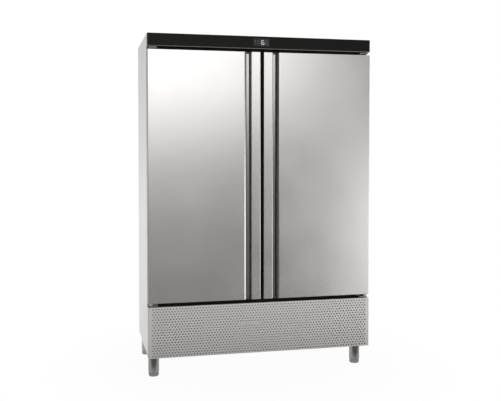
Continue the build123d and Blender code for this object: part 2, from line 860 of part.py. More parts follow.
def fan_motor(x, y, z, opening, plate_back):
    """A motor behind a fan, held by two arms on the plate round the fan's opening."""
    motor_front = y + hub_length / 2 + motor_gap
    shaft = (y - hub_length / 2, motor_front)
    reach = opening + arm_width
    with BuildPart() as motor:
        with Locations((x, motor_front + motor_length / 2, z)):
            Cylinder(motor_radius, motor_length, rotation=(90, 0, 0))
        with Locations((x, sum(shaft) / 2, z)):
            Cylinder(shaft_radius, shaft[1] - shaft[0], rotation=(90, 0, 0))
        block(
            (x - reach, x + reach),
            (motor_front, motor_front + arm_sheet),
            (z - arm_width / 2, z + arm_width / 2),
        )
        for side in (1, -1):
            post = sorted((x + side * (reach - arm_sheet), x + side * reach))
            block(
                post,
                (plate_back, motor_front + arm_sheet),
                (z - arm_width / 2, z + arm_width / 2),
            )
    return motor


fan_axial_gap = 3.0
evaporator_fan_y = cover_front + evaporator_sheet + fan_axial_gap + hub_length / 2
condenser_fan_y = shroud_back - hub_length / 2
for node, fan_x in (("evaporator_fan_left", -fan_offset), ("evaporator_fan_right", fan_offset)):
    write(fan_rotor(fan_x, evaporator_fan_y, evaporator_middle, fan_opening), node)
write(fan_rotor(coil_x, condenser_fan_y, coil_middle, shroud_opening), "condenser_fan")

# Fan motors with their arms
with BuildPart() as fan_motors:
    for fan_x in (-fan_offset, fan_offset):
        plate_back = cover_front + evaporator_sheet
        motor = fan_motor(fan_x, evaporator_fan_y, evaporator_middle, fan_opening, plate_back)
        add(motor.part)
    add(fan_motor(coil_x, condenser_fan_y, coil_middle, shroud_opening, shroud_back).part)
write(fan_motors, "fan_motors")

# Evaporator cover: stainless, with two guarded fan openings and a slotted drain pan
guard_wire = 3.0
guard_rings = 4
guard_spokes = 3
return_slot = 12.0
return_slot_length = 700.0
return_slots = 3
return_pitch = 30.0
cover_x = (-evaporator_width / 2, evaporator_width / 2)
cover_y = (cover_front, chamber_rear)
cover_z = (evaporator_bottom, chamber_ceiling)
guard_reach = fan_opening + guard_wire
guard_step = guard_reach / (guard_rings + 1)
with BuildPart() as evaporator_cover:
    block(cover_x, cover_y, cover_z)
    cover_corner = evaporator_cover.edges().filter_by(Axis.X).group_by(Axis.Z)[-1]
    fillet(cover_corner.sort_by(Axis.Y)[-1], radius=liner_corner)
    block(
        inset(cover_x, evaporator_sheet),
        (cover_front + evaporator_sheet, chamber_rear + overrun),
        (evaporator_bottom + evaporator_sheet, chamber_ceiling + overrun),
        mode=Mode.SUBTRACT,
    )
    with Locations((0, sum(cover_y) / 2, evaporator_bottom)):
        with GridLocations(0, return_pitch, 1, return_slots):
            Box(return_slot_length, return_slot, return_slot, mode=Mode.SUBTRACT)
    for fan_x in (-fan_offset, fan_offset):
        with Locations((fan_x, cover_front, evaporator_middle)):
            Cylinder(fan_opening, overrun * 2, rotation=(90, 0, 0), mode=Mode.SUBTRACT)
        guard_plane = Plane(
            origin=(fan_x, cover_front, evaporator_middle), x_dir=(1, 0, 0), z_dir=(0, -1, 0)
        )
        with BuildSketch(guard_plane):
            for ring in range(guard_rings + 1):
                Circle(guard_reach - ring * guard_step)
                Circle(guard_reach - ring * guard_step - guard_wire, mode=Mode.SUBTRACT)
            with PolarLocations(0, guard_spokes, angular_range=180):
                Rectangle(guard_reach * 2 - guard_wire, guard_wire)
        extrude(amount=guard_wire)
write(evaporator_cover, "evaporator_cover")

# Evaporator coil: fins on a core, between end plates with return bends
fin_sheet = 0.8
end_plate = 2.0
bend_tube = 5.0
bend_pitch = 26.0
with BuildPart() as return_bend:
    with BuildSketch(Plane.YZ):
        with Locations((0, bend_pitch / 2)):
            Circle(bend_tube)
    revolve(axis=Axis.Y, revolution_arc=180)


def finned_coil(x, y, z, fin_pitch):
    """A coil that fills three ranges: fins on a core along X, plates and bends at its ends."""
    core_depth = (y[1] - y[0]) / 3
    middle_y = sum(y) / 2
    fins = int((x[1] - x[0] - end_plate * 2) / fin_pitch)
    rows = int((z[1] - z[0]) / bend_pitch / 2)
    with BuildPart() as coil:
        block(x, (middle_y - core_depth / 2, middle_y + core_depth / 2), z)
        with BuildSketch(Plane.XY.offset(z[0])):
            with Locations((sum(x) / 2, middle_y)):
                with GridLocations(fin_pitch, 0, fins, 1):
                    Rectangle(fin_sheet, y[1] - y[0])
        extrude(amount=z[1] - z[0])
        for end in ((x[0], x[0] + end_plate), (x[1] - end_plate, x[1])):
            block(end, y, z)
        bend_places = [(0, 0, (row - (rows - 1) / 2) * bend_pitch * 2) for row in range(rows)]
        for end, turn in ((x[0], 180), (x[1], 0)):
            with Locations(Location((end, middle_y, sum(z) / 2), (0, 0, turn))):
                with GridLocations(0, core_depth, 1, 2):
                    with Locations(bend_places):
                        add(return_bend.part)
    return coil


evaporator_fin_pitch = 10.0
evaporator_coil_width = 760.0
evaporator_coil_depth = 90.0
evaporator_coil_height = 150.0
coil_rear_gap = 20.0
hanger = 30.0
evaporator_coil_y = (
    chamber_rear - coil_rear_gap - evaporator_coil_depth,
    chamber_rear - coil_rear_gap,
)
with BuildPart() as evaporator_coil:
    add(
        finned_coil(
            (-evaporator_coil_width / 2, evaporator_coil_width / 2),
            evaporator_coil_y,
            (chamber_ceiling - hanger - evaporator_coil_height, chamber_ceiling - hanger),
            evaporator_fin_pitch,
        ).part
    )
    for side in (1, -1):
        edge = side * evaporator_coil_width / 2
        plate_x = sorted((edge, edge - side * end_plate))
        block(plate_x, evaporator_coil_y, (chamber_ceiling - hanger, chamber_ceiling))
write(evaporator_coil, "evaporator_coil")

# Condenser coil on two feet, behind the perforated panel
condenser_fin_pitch = 8.0
coil_span = (coil_x - coil_width / 2, coil_x + coil_width / 2)
coil_y = (coil_front, coil_front + coil_depth)
with BuildPart() as condenser_coil:
    add(
        finned_coil(
            coil_span, coil_y, (coil_bottom, coil_bottom + coil_height), condenser_fin_pitch
        ).part
    )
    for end in ((coil_span[0], coil_span[0] + end_plate), (coil_span[1] - end_plate, coil_span[1])):
        block(end, coil_y, (pan_floor, coil_bottom))
write(condenser_coil, "condenser_coil")

# Fan shroud behind the condenser coil
with BuildPart() as fan_shroud:
    block(coil_span, (coil_y[1], shroud_back), (coil_bottom, coil_bottom + coil_height))
    block(
        inset(coil_span, shroud_sheet),
        (coil_y[1] - overrun, shroud_back - shroud_sheet),
        inset((coil_bottom, coil_bottom + coil_height), shroud_sheet),
        mode=Mode.SUBTRACT,
    )
    with Locations((coil_x, shroud_back, coil_middle)):
        Cylinder(shroud_opening, overrun * 2, rotation=(90, 0, 0), mode=Mode.SUBTRACT)
write(fan_shroud, "fan_shroud")

# Compressor: a domed steel shell with a seam flange, a foot plate and three stubs
shell_radius = 82.0
shell_height = 190.0
shell_dome = 40.0
seam_height = 90.0
seam_rim = 6.0
foot_plate_x = 200.0
foot_plate_y = 150.0
foot_plate_sheet = 4.0
mount_height = 24.0
mount_radius = 12.0
mount_hole = 6.0
mount_spread_x = 160.0
mount_spread_y = 110.0
stub_length = 16.0
tube_radius = 5.0
compressor_x, compressor_y = 170.0, 60.0
plate_low = pan_floor + mount_height
shell_low = plate_low + foot_plate_sheet
shell_top = shell_low + shell_height
discharge_z = shell_low + seam_height + tube_radius * 4
suction_z = discharge_z + tube_radius * 4
with BuildPart() as compressor:
    with Locations((compressor_x, compressor_y, (shell_low + shell_top) / 2)):
        Cylinder(shell_radius, shell_height)
    fillet(compressor.edges().group_by(Axis.Z)[-1], radius=shell_dome)
    with Locations((compressor_x, compressor_y, shell_low + seam_height)):
        Cylinder(shell_radius + seam_rim, seam_rim)
    with Locations((compressor_x, compressor_y, plate_low + foot_plate_sheet / 2)):
        Box(foot_plate_x, foot_plate_y, foot_plate_sheet)
    for way, height in ((-1, discharge_z), (1, suction_z)):
        stub_x = compressor_x + way * (shell_radius + stub_length) / 2
        with Locations((stub_x, compressor_y, height)):
            Cylinder(tube_radius, shell_radius + stub_length, rotation=(0, 90, 0))
    with Locations((compressor_x, compressor_y, shell_low + foot_plate_sheet)):
        with GridLocations(mount_spread_x, mount_spread_y, 2, 2):
            Cylinder(mount_hole, foot_plate_sheet * 4, mode=Mode.SUBTRACT)
write(compressor, "compressor")

# Rubber mounts between the foot plate and the base pan
with BuildPart() as compressor_mounts:
    with Locations((compressor_x, compressor_y, pan_floor + mount_height / 2)):
        with GridLocations(mount_spread_x, mount_spread_y, 2, 2):
            Cylinder(mount_radius, mount_height)
write(compressor_mounts, "compressor_mounts")

# Refrigerant pipes: discharge, liquid with the filter drier, and suction
pipe_bend = 25.0
port_margin = 8.0
manifold_z = coil_bottom + coil_height - port_margin
liquid_z = coil_bottom + port_margin
pipe_y = coil_front + coil_depth / 2
pipe_x = (coil_span[1] + compressor_x - shell_radius) / 2
liquid_x = (coil_span[1] + pipe_x) / 2
drier_radius = 12.0
drier_length = 100.0
coil_port = coil_span[1]
discharge_route = (
    (compressor_x - shell_radius - stub_length, compressor_y, discharge_z),
    (pipe_x, compressor_y, discharge_z),
    (pipe_x, compressor_y, manifold_z),
    (pipe_x, pipe_y, manifold_z),
    (coil_port, pipe_y, manifold_z),
)
liquid_route = (
    (coil_port, pipe_y, liquid_z),
    (liquid_x, pipe_y, liquid_z),
    (liquid_x, compressor_y, liquid_z),
    (liquid_x, compressor_y, machine_ceiling),
)
suction_route = (
    (compressor_x + shell_radius + stub_length, compressor_y, suction_z),
    (compressor_x + shell_radius * 2, compressor_y, suction_z),
    (compressor_x + shell_radius * 2, compressor_y, machine_ceiling),
)


def pipe(route):
    """A bent copper tube along a route of straight runs and arcs."""
    with BuildPart() as tube:
        with BuildLine() as line:
            FilletPolyline(*route, radius=pipe_bend)
        with BuildSketch(Plane(origin=line.line @ 0, z_dir=line.line % 0)):
            Circle(tube_radius)
        sweep(path=line.line)
    return tube


with BuildPart() as refrigerant_pipes:
    for route in (discharge_route, suction_route, liquid_route):
        add(pipe(route).part)
    with Locations((liquid_x, compressor_y, (liquid_z + machine_ceiling) / 2)):
        Cylinder(drier_radius, drier_length)
        Cone(
            drier_radius,
            tube_radius,
            drier_radius,
            align=(Align.CENTER, Align.CENTER, Align.MIN),
        )
write(refrigerant_pipes, "refrigerant_pipes")

# Condensate tray behind the condenser
tray_width = 320.0
tray_depth = 200.0
tray_height = 46.0
tray_wall = 2.0
tray_x = (coil_x - tray_width / 2, coil_x + tray_width / 2)
tray_y = (rear_inner - pan_sheet - tray_wall - tray_depth, rear_inner - pan_sheet - tray_wall)
tray_z = (pan_floor, pan_floor + tray_height)
with BuildPart() as condensate_tray:
    block(tray_x, tray_y, tray_z)
    offset(amount=-tray_wall, openings=condensate_tray.faces().sort_by(Axis.Z)[-1])
write(condensate_tray, "condensate_tray")

# Electrical parts: relay box, cable gland in the rear grille's lower margin, air probe
relay_width = 150.0
relay_depth = 170.0
relay_height = 130.0
relay_x = 480.0
relay_corner = 6.0
gland_length = 16.0
gland_flange = 15.0
gland_flange_length = 4.0
gland_bore = 5.0
probe_radius = 4.0
probe_length = 40.0
with BuildPart() as relay_box:
    block(
        (relay_x - relay_width / 2, relay_x + relay_width / 2),
        (-relay_depth / 2, relay_depth / 2),
        (pan_floor, pan_floor + relay_height),
    )
    fillet(relay_box.edges().filter_by(Axis.Z), radius=relay_corner)
with BuildPart() as cable_gland:
    with Locations((gland_x, rear_face - gland_length / 2, gland_z)):
        Cylinder(gland_radius, gland_length, rotation=(90, 0, 0))
    with Locations((gland_x, rear_inner - gland_flange_length / 2, gland_z)):
        Cylinder(gland_flange, gland_flange_length, rotation=(90, 0, 0))
    with Locations((gland_x, rear_face, gland_z)):
        Cylinder(gland_bore, gland_length * 2, rotation=(90, 0, 0), mode=Mode.SUBTRACT)
with BuildPart() as air_probe:
    with Locations((0, cover_front - probe_radius, evaporator_middle)):
        Cylinder(probe_radius, probe_length)
with BuildPart() as electrical_parts:
    add(relay_box.part)
    add(cable_gland.part)
    add(air_probe.part)
write(electrical_parts, "electrical_parts")

# Screws: leg plates, hinge brackets and rear panel
leg_screw_spread = 60.0
leg_screw_radius = 6.0
leg_screw_head = 5.0
screw_radius = 4.5
screw_head = 3.0
rear_screw_pitch_x = 330.0
rear_screw_pitch_z = 490.0
rear_screw_columns = 4
rear_screw_rows = 4
bracket_screw_pitch = 34.0
bracket_screw_radius = 3.0
bracket_screw_head = 2.0
rear_middle_z = (machine_ceiling + top) / 2
with BuildPart() as screws:
    for leg_x, leg_y in leg_places.values():
        with Locations((leg_x, leg_y, base - leg_plate_sheet - leg_screw_head / 2)):
            with GridLocations(leg_screw_spread, leg_screw_spread, 2, 2):
                Cylinder(leg_screw_radius, leg_screw_head)
    rear_plane = Plane(
        origin=(0, rear_face + screw_head / 2, rear_middle_z), x_dir=(1, 0, 0), z_dir=(0, -1, 0)
    )
    with Locations(rear_plane):
        with GridLocations(
            rear_screw_pitch_x, rear_screw_pitch_z, rear_screw_columns, rear_screw_rows
        ):
            Cylinder(screw_radius, screw_head)
    for side in (1, -1):
        foot_x = side * (bracket_x[0] + bracket_x[1]) / 2
        for foot_z in ((upper_foot_z[0], upper_plate[0]), (lower_plate[1], lower_foot_z[1])):
            with Locations((foot_x, bracket_foot[0] - bracket_screw_head / 2, sum(foot_z) / 2)):
                with GridLocations(bracket_screw_pitch, 0, 2, 1):
                    Cylinder(bracket_screw_radius, bracket_screw_head, rotation=(90, 0, 0))
write(screws, "screws")
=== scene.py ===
import math

import bmesh
import bpy
from mathutils import Matrix, Vector


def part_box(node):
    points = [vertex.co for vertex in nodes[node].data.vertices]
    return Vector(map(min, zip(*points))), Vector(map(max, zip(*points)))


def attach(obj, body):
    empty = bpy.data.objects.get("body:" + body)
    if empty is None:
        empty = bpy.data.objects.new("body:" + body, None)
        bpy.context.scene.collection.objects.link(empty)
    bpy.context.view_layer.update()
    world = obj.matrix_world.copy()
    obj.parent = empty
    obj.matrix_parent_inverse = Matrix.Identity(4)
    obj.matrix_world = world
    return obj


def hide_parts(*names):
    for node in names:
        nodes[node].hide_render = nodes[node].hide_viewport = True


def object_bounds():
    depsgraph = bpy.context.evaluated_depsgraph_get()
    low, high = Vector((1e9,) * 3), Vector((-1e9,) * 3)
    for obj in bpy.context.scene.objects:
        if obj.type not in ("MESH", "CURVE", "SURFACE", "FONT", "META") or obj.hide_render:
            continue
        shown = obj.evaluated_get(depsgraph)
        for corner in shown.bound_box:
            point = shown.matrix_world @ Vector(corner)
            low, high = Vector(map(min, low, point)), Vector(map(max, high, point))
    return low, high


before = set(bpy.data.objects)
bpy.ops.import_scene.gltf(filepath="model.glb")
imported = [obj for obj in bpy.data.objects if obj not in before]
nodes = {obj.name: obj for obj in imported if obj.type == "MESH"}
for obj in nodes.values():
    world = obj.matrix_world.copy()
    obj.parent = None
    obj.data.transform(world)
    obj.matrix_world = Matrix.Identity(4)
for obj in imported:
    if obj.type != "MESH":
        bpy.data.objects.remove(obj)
cad_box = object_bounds()


# The view: a long lens at the height of a standing eye, in front of the left-hand side of the
# cabinet, turned a little to the right and tilted down a very little. Its axis crosses the
# picture above the middle, and the lens is shifted down by as much.
picture_width = 501.0
focal_pixels = 742.96
axis_row, middle_row = 172.27, 200.5
sensor = 36.0
camera_turn, camera_tilt = 0.225, 0.03
camera_left, camera_back, camera_height = 1.0788, 4.3925, 1.3796
camera_data = bpy.data.cameras.new("camera")
camera_data.sensor_width = sensor
camera_data.lens = sensor * focal_pixels / picture_width
camera_data.shift_y = (axis_row - middle_row) / picture_width
camera = bpy.data.objects.new("camera", camera_data)
camera.location = (-camera_left, cad_box[0].y - camera_back, camera_height)
camera.rotation_euler = (math.pi / 2 - camera_tilt, 0.0, -camera_turn)
bpy.context.scene.collection.objects.link(camera)
bpy.context.scene.camera = camera
bpy.context.scene.view_settings.view_transform = "Standard"


# The studio. In front of the doors a high soft light hangs over a darker floor. On the right
# stands a pale card, bright low down and dark above, and the left is dark. Behind the object
# the room is white. The steel shows all of it. What the camera sees past it is plain white.
class Wire:
    """An output socket. A sum or a product of wires and numbers adds its Math nodes."""

    def __init__(self, tree, socket):
        self.tree, self.socket = tree, socket

    def maths(self, operation, *values):
        return self.tree.add("ShaderNodeMath", {"operation": operation}, dict(enumerate(values)))

    def __add__(self, other):
        return self.maths("ADD", self, other)

    def __mul__(self, other):
        return self.maths("MULTIPLY", self, other)

    def __rsub__(self, other):
        return self.maths("SUBTRACT", other, self)

    __radd__, __rmul__ = __add__, __mul__


class Tree:
    """The node tree of a world or a material, emptied and then built by add()."""

    def __init__(self, owner):
        owner.use_nodes = True
        self.nodes, self.links = owner.node_tree.nodes, owner.node_tree.links
        self.nodes.clear()

    def add(self, kind, settings=None, sockets=None, output=0):
        """Adds a node, with its settings first and then its sockets' values or links."""
        node = self.nodes.new(kind)
        for name, value in (settings or {}).items():
            if name == "stops":
                ramp = node.color_ramp.elements
                while len(ramp) < len(value):
                    ramp.new(1.0)
                for stop, (position, grey) in zip(ramp, value):
                    stop.position = position
                    stop.color = (grey, grey, grey, 1.0)
            else:
                setattr(node, name, value)
        for name, value in (sockets or {}).items():
            if isinstance(value, Wire):
                self.links.new(value.socket, node.inputs[name])
            else:
                node.inputs[name].default_value = value
        return Wire(self, node.outputs[output]) if len(node.outputs) else node

    def between(self, value, low, high, first=0.0, last=1.0):
        """Rises smoothly from first to last while value goes from low to high."""
        sockets = {"Value": value, "From Min": low, "From Max": high}
        sockets.update({"To Min": first, "To Max": last})
        return self.add("ShaderNodeMapRange", {"interpolation_type": "SMOOTHSTEP"}, sockets)

    def ramp(self, factor, *stops):
        """A grey that runs through stops of (factor, brightness)."""
        return self.add("ShaderNodeValToRGB", {"stops": stops}, {"Fac": factor})

    def mix(self, factor, first, second):
        """Goes from the first colour to the second."""
        sockets = {0: factor, 6: first, 7: second}
        return self.add("ShaderNodeMix", {"data_type": "RGBA"}, sockets, output=2)

    def axes(self, vector):
        """The three axes of a vector, each as a wire."""
        split = self.add("ShaderNodeSeparateXYZ", {}, {"Vector": vector})
        return [Wire(self, socket) for socket in split.socket.node.outputs]


white, dim = (1.0, 1.0, 1.0, 1.0), (0.14, 0.14, 0.14, 1.0)
world = bpy.data.worlds.new("studio")
bpy.context.scene.world = world
studio = Tree(world)
across, deep, up = studio.axes(studio.add("ShaderNodeTexCoord", output="Generated"))

# Heights run from 0, straight down, past 0.5, level, to 1, straight up.
height = up * 0.5 + 0.5
middle = studio.ramp(
    height, (0.0, 0.30), (0.37, 0.32), (0.41, 0.28), (0.45, 0.41), (0.48, 0.57), (0.50, 0.81),
    (0.52, 1.40), (0.54, 2.25), (0.57, 2.2), (0.7, 1.9), (1.0, 1.2),
)
beside = studio.ramp(
    height, (0.0, 0.30), (0.37, 0.18), (0.41, 0.13), (0.45, 0.15), (0.48, 0.165), (0.50, 0.18),
    (0.52, 0.40), (0.54, 1.58), (0.57, 2.3), (0.7, 1.7), (1.0, 1.2),
)
card = studio.ramp(
    height, (0.0, 0.8), (0.38, 1.6), (0.42, 2.1), (0.45, 2.55), (0.485, 1.92), (0.50, 1.27),
    (0.52, 0.78), (0.55, 0.10), (0.57, 0.05), (0.65, 0.2), (0.8, 1.2), (1.0, 1.2),
)
behind = studio.ramp(
    height, (0.0, 0.9), (0.40, 1.05), (0.46, 1.1), (0.50, 1.0), (0.57, 0.82), (1.0, 1.0)
)

# From left to right in front of the doors, each passes into the next between two directions.
# Above the horizon the card leans out to the left.
light_left, light_right = (-0.35, -0.05), (0.15, 0.28)
card_left, card_right = (0.30, 0.44), (0.88, 0.98)
lean_heights, lean_reach, turn_back = (0.51, 0.56), 0.07, (0.0, 0.4)
lean = studio.between(height, *lean_heights, 0.0, lean_reach)
ahead = studio.mix(studio.between(across, *light_left), dim, middle)
ahead = studio.mix(studio.between(across, *light_right), ahead, beside)
ahead = studio.mix(studio.between(across + lean, *card_left), ahead, card)
ahead = studio.mix(studio.between(across, *card_right), ahead, dim)
room = studio.mix(studio.between(deep, *turn_back), ahead, behind)
seen = studio.add("ShaderNodeLightPath", output="Is Camera Ray")
shown = studio.mix(seen, room, white)
glow = studio.add("ShaderNodeBackground", {}, {"Color": shown, "Strength": 1.0})
studio.add("ShaderNodeOutputWorld", {}, {"Surface": glow})


# The floor: a pale matt disc that fades into the white, so that only the shadow by the feet
# shows. Metal sees it as bright or dim bands across the room, which the legs mirror.
floor_radius = 1.8
shadow_near, shadow_far, shadow_share = 0.6, 1.5, 0.04

# The factor of the bands runs from 0 in front to 1 behind over so many metres.
bands_depth = 4.0
floor_mesh = bmesh.new()
bmesh.ops.create_circle(floor_mesh, cap_ends=True, segments=96, radius=floor_radius)
floor_data = bpy.data.meshes.new("floor")
floor_mesh.to_mesh(floor_data)
floor_mesh.free()
floor = bpy.data.objects.new("floor", floor_data)
bpy.context.scene.collection.objects.link(floor)
floor_material = bpy.data.materials.new("floor")
ground = Tree(floor_material)
place = ground.add("ShaderNodeTexCoord", output="Object")
distance = ground.add("ShaderNodeVectorMath", {"operation": "LENGTH"}, {0: place}, output=1)
fade = ground.between(distance, shadow_near, shadow_far, shadow_share, 0.0)
looked_at = ground.add("ShaderNodeLightPath", output="Is Camera Ray")
mirrored = ground.add("ShaderNodeLightPath", output="Is Glossy Ray")
backward = ground.axes(place)[1] * (1 / bands_depth) + 0.5
bands = ground.ramp(
    backward, (0.0, 0.55), (0.28, 0.55), (0.33, 0.12), (0.38, 0.12), (0.43, 0.6), (0.53, 0.6),
    (0.62, 1.0),
)
matt = ground.add("ShaderNodeBsdfDiffuse", {}, {"Color": (0.62, 0.62, 0.62, 1.0)})
pale = ground.mix(looked_at, bands, white)
shine = ground.add("ShaderNodeEmission", {}, {"Color": pale, "Strength": 1.0})
bright = (looked_at + mirrored) * (1.0 - fade)
paint = ground.add("ShaderNodeMixShader", {}, {0: bright, 1: matt, 2: shine})
ground.add("ShaderNodeOutputMaterial", {}, {"Surface": paint})
floor_data.materials.append(floor_material)


# Outer shell: side, top and rear panels and the doors' face sheets, of stainless steel sheet,
# brushed upwards, folded where it turns a corner and held by the foam behind it. Faint clouds
# show where it has been wiped.
class Finish(Tree):
    """A material for one finish. Its patterns lie on Object coordinates."""

    def __init__(self, name):
        self.material = bpy.data.materials.new(name)
        super().__init__(self.material)
        self.place = self.add("ShaderNodeTexCoord", output="Object")

    def noise(self, scale, detail=2.0):
        """Noise with so many lumps to a metre along each axis, or along all three."""
        stretch = scale if isinstance(scale, tuple) else (scale, scale, scale)
        spot = self.add("ShaderNodeMapping", {}, {"Vector": self.place, "Scale": stretch})
        return self.add("ShaderNodeTexNoise", {}, {"Vector": spot, "Scale": 1.0, "Detail": detail})

    def tint(self, colour, factor, spread):
        """The colour, darker and lighter by the spread as the factor goes from 0 to 1."""
        dark = [channel * (1.0 - spread) for channel in colour] + [1.0]
        light = [min(channel * (1.0 + spread), 1.0) for channel in colour] + [1.0]
        return self.mix(factor, dark, light)

    def surface(self, colour, roughness, relief=None, relief_depth=0.0, **constants):
        """Ends the tree in its shader. Only colour, roughness and relief vary."""
        sockets = {"Base Color": colour, "Roughness": roughness}
        sockets.update({name.replace("_", " "): value for name, value in constants.items()})
        if relief is not None:
            bump = {"Height": relief, "Distance": relief_depth, "Strength": 1.0}
            sockets["Normal"] = self.add("ShaderNodeBump", {}, bump)
        shader = self.add("ShaderNodeBsdfPrincipled", {}, sockets)
        self.add("ShaderNodeOutputMaterial", {}, {"Surface": shader})
        return self.material


def dress(material, *names):
    """Gives CAD nodes their finish."""
    for name in names:
        for part_slot in nodes[name].material_slots:
            part_slot.material = material


def brushed(name, colour, roughness, grain, anisotropy=0.25):
    """Metal whose brush lines are long along the axis where grain is small."""
    steel = Finish(name)
    lines = steel.noise(grain, 3.0)
    clouds = steel.noise(3.5, 3.0)
    shade = steel.tint(colour, lines * 0.7 + clouds * 0.3, 0.07)
    gloss = lines * 0.10 + clouds * 0.08 + (roughness - 0.09)
    return steel.surface(shade, gloss, lines, scratch_depth, Metallic=1.0, Anisotropic=anisotropy)


scratch_depth = 0.00002
steel_colour = (0.625, 0.610, 0.592)
upward_grain = (1400.0, 1400.0, 12.0)
door_steel = brushed("brushed_stainless_doors", steel_colour, 0.22, upward_grain)
shell_steel = brushed("brushed_stainless_shell", steel_colour, 0.3, upward_grain)
dress(shell_steel, "side_panel_left", "side_panel_right", "top_panel", "rear_panel")
dress(door_steel, "door_skin_left", "door_skin_right")


# Insulation: rigid foam, straw-coloured and full of fine cells. It is poured between the outer
# sheets and the liner, and into the doors, where it sets and glues them together.
foam_cells, cell_depth = 700.0, 0.0004
foam = Finish("rigid_foam")
cells = foam.add("ShaderNodeTexVoronoi", {}, {"Vector": foam.place, "Scale": foam_cells})
foam_shade = foam.tint((0.78, 0.69, 0.46), cells * 0.5 + foam.noise(25.0) * 0.5, 0.14)
foam_finish = foam.surface(foam_shade, cells * 0.15 + 0.75, cells, cell_depth)
dress(foam_finish, "insulation", "door_core_left", "door_core_right")


# Inside: liner, centre post, evaporator cover and the doors' inner panels, all of thin
# stainless sheet with a softer brush than outside, folded and screwed or glued in place.
liner_grain = (500.0, 500.0, 14.0)
liner_steel = brushed("brushed_stainless_liner", (0.68, 0.675, 0.665), 0.34, liner_grain)
dress(liner_steel, "inner_liner", "centre_mullion", "evaporator_cover")
dress(liner_steel, "door_inner_panel_left", "door_inner_panel_right")


# Machine compartment: ceiling, base pan and condensate tray of folded zinc-coated sheet. The
# crystals of the zinc show in the surface. The screws are zinc-coated too.
crystals = 75.0
zinc = Finish("zinc_coated_sheet")
crystal = {"Vector": zinc.place, "Scale": crystals, "Randomness": 1.0}
spangle = zinc.axes(zinc.add("ShaderNodeTexVoronoi", {}, crystal, output="Color"))[0]
zinc_shade = zinc.tint((0.56, 0.57, 0.58), spangle * 0.7 + zinc.noise(9.0) * 0.3, 0.16)
zinc_finish = zinc.surface(zinc_shade, spangle * 0.16 + 0.36, Metallic=1.0)
dress(zinc_finish, "machine_ceiling", "base_pan", "condensate_tray", "screws")


# Control strip: a black moulded face with a soft gloss, a little uneven where it has been
# handled, clipped over a box of folded stainless. The hinge brackets are folded from steel
# with the same brush. The steel of both is much darker than the shell's: painted shade, for
# the shade under the strip and in the door gaps.
def moulded(name, colour, roughness, grain=900.0, relief=0.00003, **constants):
    """Plastic, rubber or paint: a fine grain, and clouds where it has been touched."""
    skin = Finish(name)
    pores, touch = skin.noise(grain), skin.noise(7.0, 3.0)
    shade = skin.tint(colour, pores * 0.4 + touch * 0.6, 0.16)
    gloss = touch * 0.14 + pores * 0.06 + (roughness - 0.1)
    return skin.surface(shade, gloss, pores, relief, **constants)


fine_grain, smooth_relief = 1500.0, 0.000004
strip_black = moulded(
    "fascia_black", (0.011, 0.0115, 0.0088), 0.34, fine_grain, smooth_relief,
    Specular_IOR_Level=0.08,
)
dress(strip_black, "control_fascia")
sideways_grain = (12.0, 1400.0, 1400.0)
# Painted shade: the box's and the brackets' steel is darker than the shell's.
box_steel_painted_shade = brushed("brushed_stainless_box_painted_shade", (0.26, 0.25, 0.25), 0.34, sideways_grain)
dress(box_steel_painted_shade, "control_box", "hinge_brackets")


# Front frame: one steel sheet, cut out for the two door openings, which the seals close on.
# Its near-black paint is painted shade, for the shade in the door gaps. The fan shroud and the
# rear grille have the same painted shade, for the shade that the holes show.
painted_shade_black = moulded("painted_shade_black", (0.012, 0.012, 0.013), 0.6, Specular_IOR_Level=0.25)
dress(painted_shade_black, "front_frame", "fan_shroud", "rear_grille")


# Controller: bezel and housing in one dark moulding that snaps into the strip, with a smoked
# lens pressed into its front and four keys that slide in it.
bezel_finish = moulded("controller_plastic", (0.014, 0.014, 0.015), 0.42, Specular_IOR_Level=0.3)
lens_finish = moulded("smoked_lens", (0.016, 0.016, 0.018), 0.14, Specular_IOR_Level=0.3)
key_finish = moulded("key_plastic", (0.03, 0.03, 0.032), 0.46, Specular_IOR_Level=0.35)
dress(bezel_finish, "controller")
dress(lens_finish, "display_lens")
dress(key_finish, "key_power", "key_set", "key_up", "key_down")


# Lit number: a seven-segment digit on the lens, and beside it the place of a second digit,
# unlit. The segments are thin bars with pointed ends, with a small gap from tip to tip.
def piece(name, mesh, material, body, smooth=None):
    """Turns a bmesh into an object that rides on a body."""
    data = bpy.data.meshes.new(name)
    mesh.to_mesh(data)
    mesh.free()
    data.materials.append(material)
    made = bpy.data.objects.new(name, data)
    bpy.context.scene.collection.objects.link(made)
    if smooth is not None:
        data.shade_smooth()
        data.set_sharp_from_angle(angle=math.radians(smooth))
    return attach(made, body)


def segment(mesh, centre, length, breadth, upright):
    """A bar with pointed ends, as a flat face in the XZ plane."""
    corners = bmesh.ops.create_circle(mesh, cap_ends=True, segments=6, radius=breadth / 2)["verts"]
    bmesh.ops.rotate(mesh, verts=corners, matrix=Matrix.Rotation(math.pi / 2, 3, "Z"))
    for corner in corners:
        corner.co.y += math.copysign((length - breadth) / 2, corner.co.y)
    turn = Matrix.Rotation(math.pi / 2, 3, "X")
    if not upright:
        turn = Matrix.Rotation(math.pi / 2, 3, "Y") @ turn
    bmesh.ops.rotate(mesh, verts=corners, matrix=turn)
    bmesh.ops.translate(mesh, verts=corners, vec=centre)


def digit(mesh, centre, tall, wide, breadth, lit):
    """A seven-segment digit. Lit names its segments, a to g."""
    half_high, half_wide = tall / 4, wide / 2
    spots = {
        "a": (0, 2, False), "g": (0, 0, False), "d": (0, -2, False),
        "f": (-1, 1, True), "b": (1, 1, True), "e": (-1, -1, True), "c": (1, -1, True),
    }
    for letter in lit:
        across_steps, up_steps, upright = spots[letter]
        offset = Vector((across_steps * half_wide, 0.0, up_steps * half_high))
        span = (half_high if upright else half_wide) * 2
        segment(mesh, centre + offset, span - breadth * tip_gap_share, breadth, upright)


